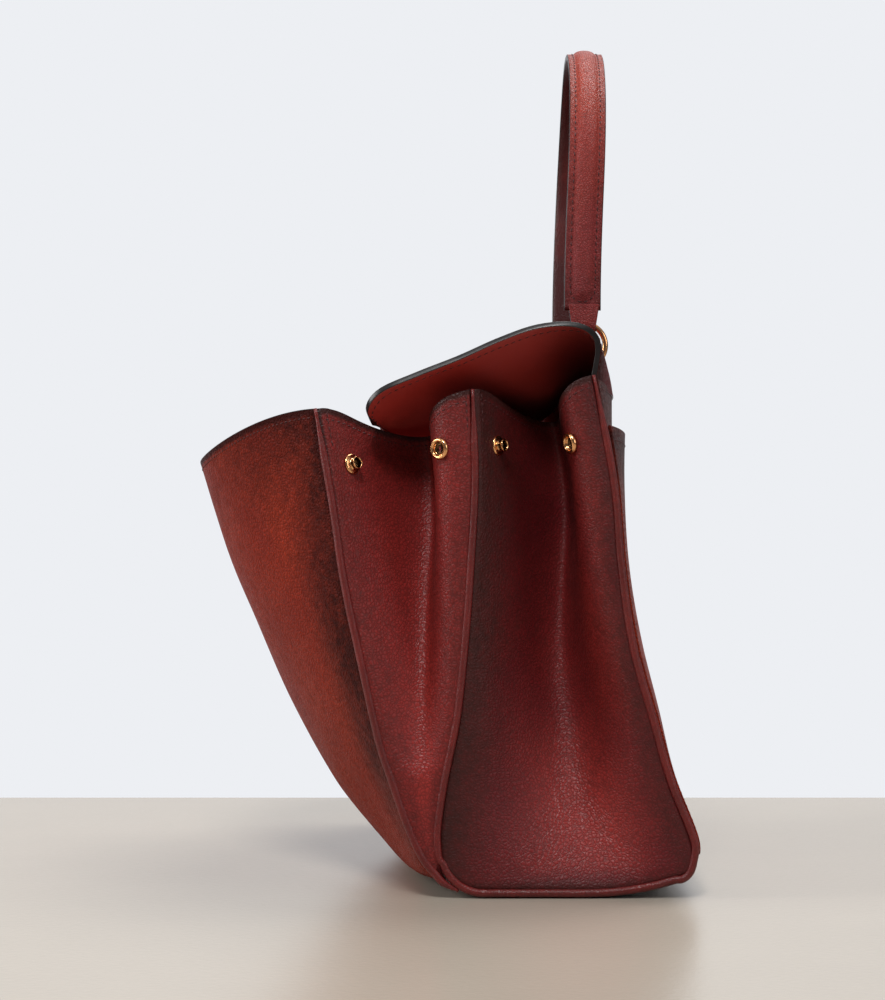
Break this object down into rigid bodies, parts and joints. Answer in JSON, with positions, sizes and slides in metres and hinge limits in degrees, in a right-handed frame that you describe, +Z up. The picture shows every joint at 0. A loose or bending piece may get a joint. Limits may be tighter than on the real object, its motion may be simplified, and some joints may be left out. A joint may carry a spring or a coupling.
{
  "type": "leather top-handle bag",
  "caption": "Soft leather bag with two open compartments, folded side gussets with snaps, a flap, a back slip pocket and a padded top handle on rings.",
  "frame": {"origin": "under the middle of the flat sole, on the surface that the bag stands on", "axes": "+Z up towards the handle, -Y towards the front panel, +X towards the gussets that the picture shows"},
  "size_m": [0.3406, 0.2665, 0.4492],
  "materials": {
    "burgundy_leather": "grained, burnished edges",
    "patina_leather": "grained, rust patina",
    "dark_leather": "grained, dark",
    "handle_leather": "padded, stitched",
    "gold_metal": "polished gold"
  },
  "bodies": {
    "root": {"front_panel": "patina_leather", "divider": "burgundy_leather", "back_panel": "patina_leather", "base_panel": "dark_leather", "flap": "burgundy_leather", "back_pocket": "patina_leather", "front_gusset_right": "burgundy_leather", "front_gusset_left": "burgundy_leather", "back_gusset_right": "burgundy_leather", "back_gusset_left": "burgundy_leather", "front_piping_right": "dark_leather", "front_piping_left": "dark_leather", "body_piping_right": "dark_leather", "body_piping_left": "dark_leather", "handle_strap": "handle_leather", "handle_tab_right": "handle_leather", "handle_tab_left": "handle_leather", "ring_chape_right": "burgundy_leather", "ring_chape_left": "burgundy_leather", "handle_ring_right": "gold_metal", "handle_ring_left": "gold_metal", "snap_stud_front_right": "gold_metal", "snap_stud_front_left": "gold_metal", "snap_stud_back_right": "gold_metal", "snap_stud_back_left": "gold_metal", "snap_socket_front_right": "gold_metal", "snap_socket_front_left": "gold_metal", "snap_socket_back_right": "gold_metal", "snap_socket_back_left": "gold_metal"}
  },
  "joints": []
}
